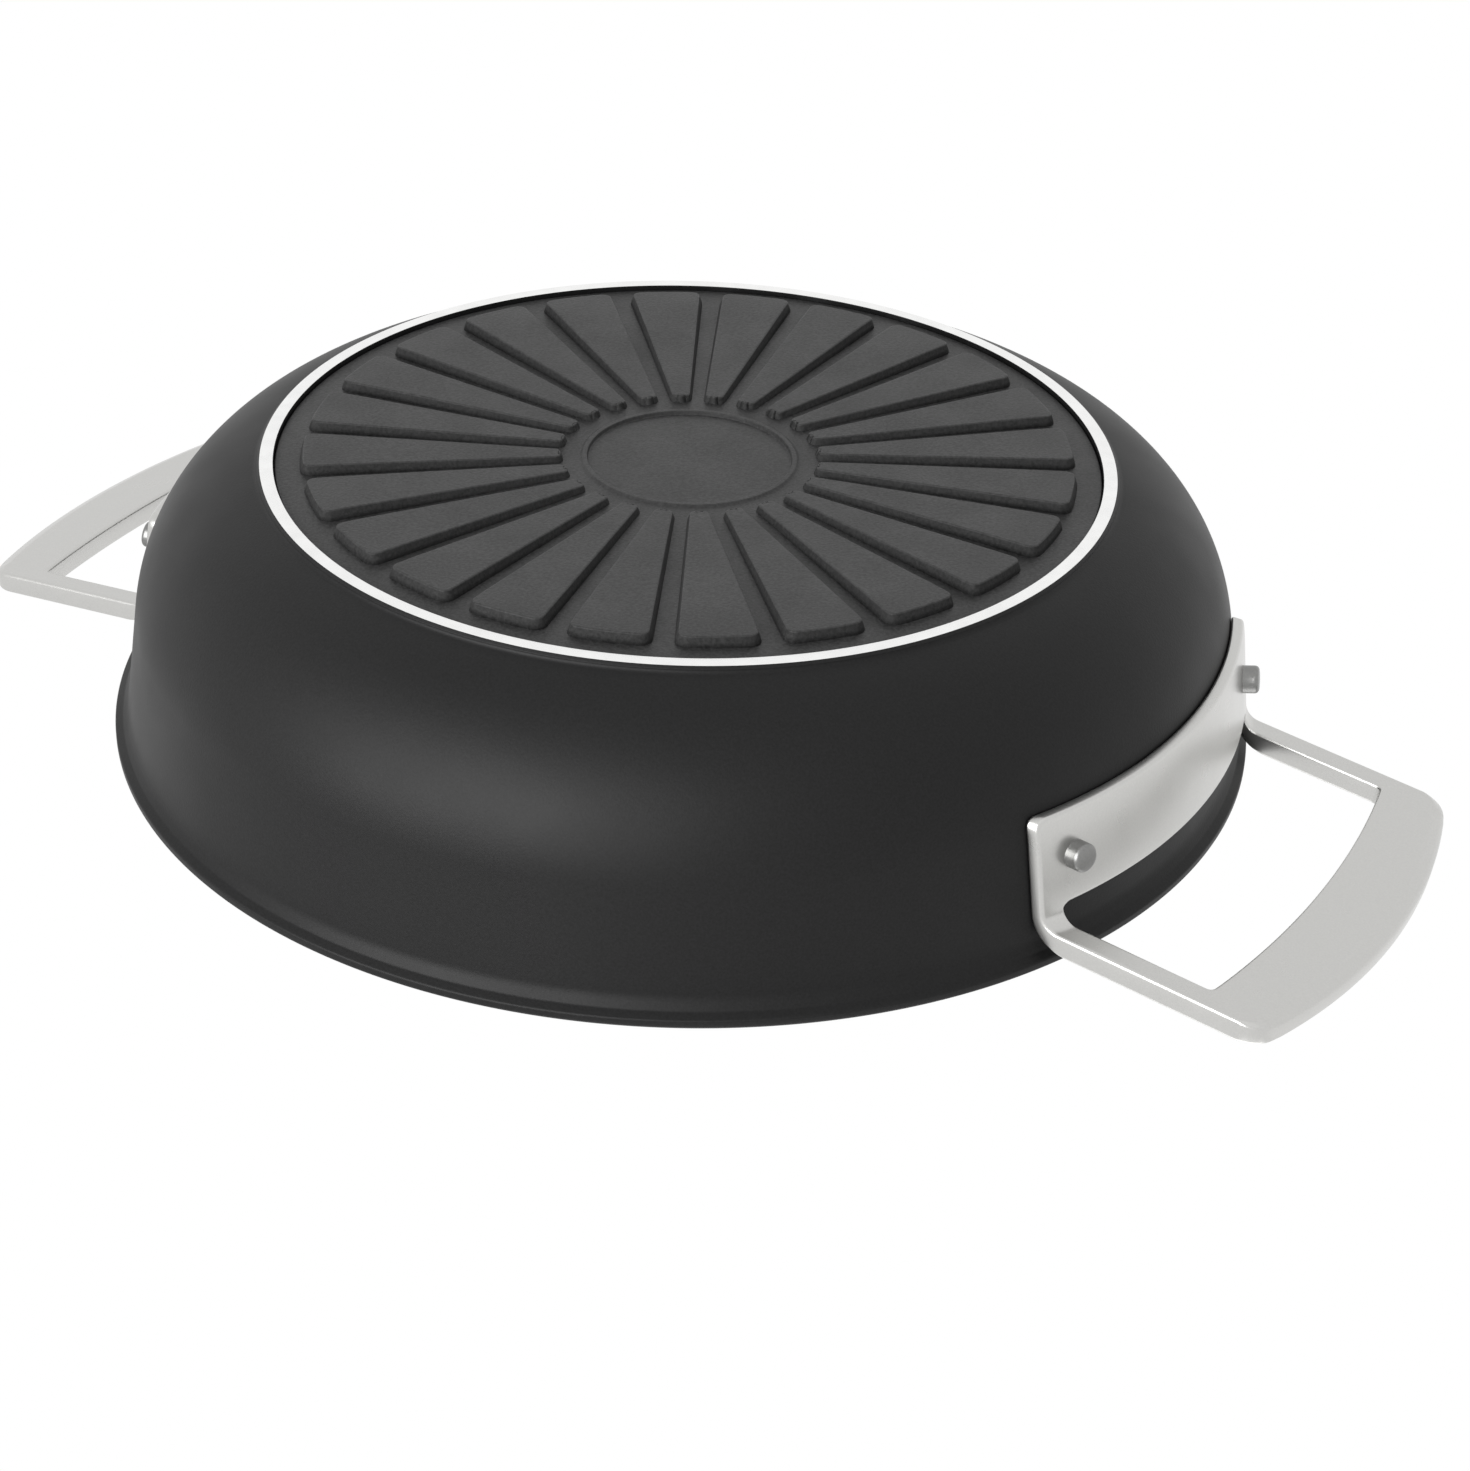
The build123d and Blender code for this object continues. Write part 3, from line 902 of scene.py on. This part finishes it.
def makeHandle(name, shape, halfTurn):
    s = shape
    inner, outer, weights = handleEdges(s)
    innerIn, outerIn = edgeNormals(inner, outer), edgeNormals(outer, inner)
    turns = np.radians(np.linspace(0, 90, 6))
    soft = [(1 - math.sin(a), 1 - math.cos(a)) for a in turns]
    w, d = s["bevelWidth"], s["bevelDepth"]
    bevel = [
        (w + 0.25, 0.0),
        (w - 0.1, 0.05),
        (w * 0.66, d * 0.36),
        (w * 0.33, d * 0.7),
        (0.28, d + 0.02),
        (0.0, d + 0.45),
    ]
    rf, rb = s["frontRound"], s["backRound"]
    rings = []
    for pi, po, ni, no, weight in zip(inner, outer, innerIn, outerIn, weights):
        ring = []
        plain = 1 - weight
        outerFront = [
            (f[0] * rf * plain + b[0] * weight, f[1] * rf * plain + b[1] * weight)
            for f, b in zip(soft, bevel)
        ]
        for dist, depth in soft:
            spot = pi + ni * dist * rf
            ring.append(sheetPoint(s, spot[0], spot[1], depth * rf))
        for dist, depth in reversed(soft):
            spot = pi + ni * dist * rb
            ring.append(sheetPoint(s, spot[0], spot[1], -max(depth * rb, fromBack)))
        a, b = pi + ni * rb, po + no * rb
        for t in acrossShares((b - a).length):
            spot = a.lerp(b, t)
            ring.append(sheetPoint(s, spot[0], spot[1], -fromBack))
        for dist, depth in soft:
            spot = po + no * dist * rb
            ring.append(sheetPoint(s, spot[0], spot[1], -max(depth * rb, fromBack)))
        for dist, depth in reversed(outerFront):
            spot = po + no * dist
            ring.append(sheetPoint(s, spot[0], spot[1], depth))
        a, b = po + no * outerFront[0][0], pi + ni * rf
        for t in acrossShares((b - a).length):
            spot = a.lerp(b, t)
            ring.append(sheetPoint(s, spot[0], spot[1], 0.0))
        rings.append(ring)
    mirrored = [[(x, -y, z) for x, y, z in ring] for ring in rings[1:-1]]
    rings += mirrored[::-1]
    size, count = len(rings[0]), len(rings)
    sign = -1 if halfTurn else 1
    points = [(sign * x, sign * y, z) for ring in rings for x, y, z in ring]
    faces = []
    for i in range(count):
        n = (i + 1) % count
        for k in range(size):
            m = (k + 1) % size
            faces.append((i * size + k, i * size + m, n * size + m, n * size + k))
    thing = addMesh(name, points, faces)
    thing.data.materials.append(steelHandle)
    tidyMesh(thing)
    return thing


rightHandle = makeHandle("rightHandle", handleShape, False)
leftHandle = makeHandle("leftHandle", handleShape, True)
print("handles made,", len(rightHandle.data.polygons), "faces each")

# Rivets: one turned rivet, set at its four places by Geometry Nodes
rivetShape = {
    "azimuth": 19.4,
    "height": 46.0,
    "shank": 3.5,
    "tail": 3.8,
    "tailRound": 1.1,
    "headRadius": 7.5,
    "headThickness": 1.7,
    "headSeat": -3.5,  # back of the head, from the pan's outer wall
    "flangeFront": 3.15,
    "steps": 48,
}


def makeRivet(shape):
    s = shape
    head = s["headSeat"]
    path = roundedPath([
        (0, head - s["headThickness"]),
        (s["headRadius"] - 1.2, head - s["headThickness"] + 0.05, 2.0),
        (s["headRadius"], head - 0.6, 0.5),
        (s["headRadius"], head, 0.15),
        (s["shank"], head),
        (s["shank"], s["flangeFront"] + s["tail"], s["tailRound"]),
        (0, s["flangeFront"] + s["tail"] + 0.12),
    ], 5)
    thing, _ = turned("rivetPattern", path, s["steps"])
    tidyMesh(thing)
    return thing


def rivetTree():
    tree = bpy.data.node_groups.new("rivetRow", "GeometryNodeTree")
    addInput(tree, "Places", "NodeSocketGeometry")
    addInput(tree, "Rivet", "NodeSocketObject")
    addInput(tree, "Finish", "NodeSocketMaterial")
    tree.interface.new_socket(name="Geometry", in_out="OUTPUT", socket_type="NodeSocketGeometry")
    nodes, links = tree.nodes, tree.links
    start, end = nodes.new("NodeGroupInput"), nodes.new("NodeGroupOutput")
    source = nodes.new("GeometryNodeObjectInfo")
    links.new(start.outputs["Rivet"], source.inputs["Object"])
    outward = nodes.new("GeometryNodeInputNamedAttribute")
    outward.data_type = "FLOAT_VECTOR"
    outward.inputs["Name"].default_value = "outward"
    aim = nodes.new("FunctionNodeAlignRotationToVector")
    aim.axis = "Z"
    links.new(outward.outputs["Attribute"], aim.inputs["Vector"])
    place = nodes.new("GeometryNodeInstanceOnPoints")
    links.new(start.outputs["Places"], place.inputs["Points"])
    links.new(source.outputs["Geometry"], place.inputs["Instance"])
    links.new(aim.outputs["Rotation"], place.inputs["Rotation"])
    real = nodes.new("GeometryNodeRealizeInstances")
    links.new(place.outputs[0], real.inputs[0])
    finish = nodes.new("GeometryNodeSetMaterial")
    links.new(real.outputs[0], finish.inputs["Geometry"])
    links.new(start.outputs["Finish"], finish.inputs["Material"])
    links.new(finish.outputs[0], end.inputs[0])
    return tree


def makeRivets(shape):
    s = shape
    flare = math.radians(panShell["flare"])
    places, outward = [], []
    for middle in (0, 180):
        for turn in (-s["azimuth"], s["azimuth"]):
            a = math.radians(middle + turn)
            r = wallRadius(s["height"])
            places.append((r * math.cos(a), r * math.sin(a), s["height"]))
            outward += [math.cos(a) * math.cos(flare), math.sin(a) * math.cos(flare), -math.sin(flare)]
    thing = addMesh("rivets", places, [])
    attribute = thing.data.attributes.new("outward", "FLOAT_VECTOR", "POINT")
    attribute.data.foreach_set("vector", outward)
    pattern = makeRivet(s)
    bakeNodes(thing, rivetTree(), {"Rivet": pattern, "Finish": metalRivet})
    bpy.data.objects.remove(pattern)
    return thing


rivets = makeRivets(rivetShape)
print("rivets set,", len(rivets.data.polygons), "faces")

for piece, nodeNames, slotName in (
    (pan, ("pan_body",), "body_coating"),
    (plate, ("base_plate",), "base_metal"),
    (rightHandle, ("handle_right",), "handle_steel"),
    (leftHandle, ("handle_left",), "handle_steel"),
    (rivets, ("rivet_right_front", "rivet_right_rear", "rivet_left_front", "rivet_left_rear"), "rivet_metal"),
):
    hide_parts(*nodeNames)
    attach(piece, "root")
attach(pads, "root")

# Stage: a pale floor that only shows from above, and a white surround
stageLook = {
    "floorColour": (0.86, 0.86, 0.86),
    "floorSize": 6.0,
    "floorHeight": -0.0002,
    "floorRough": 0.9,
    "floorGloss": 0.1,
    "fadeFrom": 0.30,  # the floor turns to plain white between these two distances
    "fadeTo": 1.1,
    "surround": 0.42,
}
lampAim = (0, 0, 0.036)  # the middle of the pan


def makeFloor(look):
    half = look["floorSize"] / 2
    z = look["floorHeight"]
    mesh = bpy.data.meshes.new("stageFloor")
    corners = [(-half, -half, z), (half, -half, z), (half, half, z), (-half, half, z)]
    mesh.from_pydata(corners, [], [(0, 1, 2, 3)])
    floor = bpy.data.objects.new("stageFloor", mesh)
    bpy.context.scene.collection.objects.link(floor)
    material = bpy.data.materials.new("paleFloor")
    material.use_nodes = True
    tree = material.node_tree
    shader = tree.nodes["Principled BSDF"]
    shader.inputs["Base Color"].default_value = (*look["floorColour"], 1)
    shader.inputs["Roughness"].default_value = look["floorRough"]
    shader.inputs["Specular IOR Level"].default_value = look["floorGloss"]
    # the underside is clear, because the photograph's camera looks up through it
    clear = tree.nodes.new("ShaderNodeBsdfTransparent")
    side = tree.nodes.new("ShaderNodeNewGeometry")
    place = tree.nodes.new("ShaderNodeTexCoord")
    away = tree.nodes.new("ShaderNodeVectorMath")
    away.operation = "LENGTH"
    tree.links.new(place.outputs["Object"], away.inputs[0])
    fade = tree.nodes.new("ShaderNodeMapRange")
    fade.interpolation_type = "SMOOTHSTEP"
    fade.inputs["From Min"].default_value = look["fadeFrom"]
    fade.inputs["From Max"].default_value = look["fadeTo"]
    tree.links.new(away.outputs["Value"], fade.inputs["Value"])
    white = tree.nodes.new("ShaderNodeEmission")
    white.inputs["Strength"].default_value = 1.0
    pale = tree.nodes.new("ShaderNodeMixShader")
    tree.links.new(fade.outputs["Result"], pale.inputs["Fac"])
    tree.links.new(shader.outputs[0], pale.inputs[1])
    tree.links.new(white.outputs[0], pale.inputs[2])
    mix = tree.nodes.new("ShaderNodeMixShader")
    tree.links.new(side.outputs["Backfacing"], mix.inputs["Fac"])
    tree.links.new(pale.outputs[0], mix.inputs[1])
    tree.links.new(clear.outputs[0], mix.inputs[2])
    tree.links.new(mix.outputs[0], tree.nodes["Material Output"].inputs["Surface"])
    mesh.materials.append(material)
    floor.visible_diffuse = False
    floor.visible_glossy = False
    floor.visible_transmission = False
    floor.visible_shadow = False
    return floor


def makeSurround(look):
    world = bpy.data.worlds.new("studio")
    bpy.context.scene.world = world
    world.use_nodes = True
    tree = world.node_tree
    background = tree.nodes["Background"]
    background.inputs["Color"].default_value = (look["surround"],) * 3 + (1,)
    background.inputs["Strength"].default_value = 1.0
    white = tree.nodes.new("ShaderNodeBackground")
    white.inputs["Color"].default_value = (1, 1, 1, 1)
    white.inputs["Strength"].default_value = 1.0
    # the camera, reflections and anything seen through glass get the white, diffuse light the grey
    ray = tree.nodes.new("ShaderNodeLightPath")
    seen = ray.outputs["Is Camera Ray"]
    for name in ("Is Glossy Ray", "Is Transmission Ray"):
        add = tree.nodes.new("ShaderNodeMath")
        add.operation = "MAXIMUM"
        tree.links.new(seen, add.inputs[0])
        tree.links.new(ray.outputs[name], add.inputs[1])
        seen = add.outputs[0]
    mix = tree.nodes.new("ShaderNodeMixShader")
    tree.links.new(seen, mix.inputs["Fac"])
    tree.links.new(background.outputs[0], mix.inputs[1])
    tree.links.new(white.outputs[0], mix.inputs[2])
    tree.links.new(mix.outputs[0], tree.nodes["World Output"].inputs["Surface"])


def addLamp(name, towards, distance, size, power):
    data = bpy.data.lights.new(name, "AREA")
    data.shape = "RECTANGLE"
    data.size, data.size_y = size
    data.energy = power
    lamp = bpy.data.objects.new(name, data)
    bpy.context.scene.collection.objects.link(lamp)
    direction = Vector(towards).normalized()
    lamp.location = Vector(lampAim) + direction * distance
    lamp.rotation_euler = direction.to_track_quat("Z", "Y").to_euler()
    lamp.visible_camera = False


floor = makeFloor(stageLook)
photoUp = Vector((0, 0, -1))
level = Vector((viewBack.x, viewBack.y, 0)).normalized()
makeSurround(stageLook)
keySide = viewRight * -0.62 + photoUp * 0.38 + level * 0.8
overSide = photoUp * 1.0 + level * 0.3 + viewRight * 0.35
rightSide = viewRight * 0.95 - photoUp * 0.3 - level * 0.31
addLamp("keyLeft", keySide, distance=1.3, size=(1.4, 1.0), power=23)
addLamp("overPhoto", overSide, distance=1.4, size=(0.9, 0.9), power=0.3)
addLamp("sideRight", rightSide, distance=1.6, size=(3.6, 1.8), power=1.5)
addLamp("topUpright", (0.2, 0.15, 1), distance=1.5, size=(1.3, 1.3), power=8)
print("stage set")

bpy.context.scene.view_settings.view_transform = "Standard"
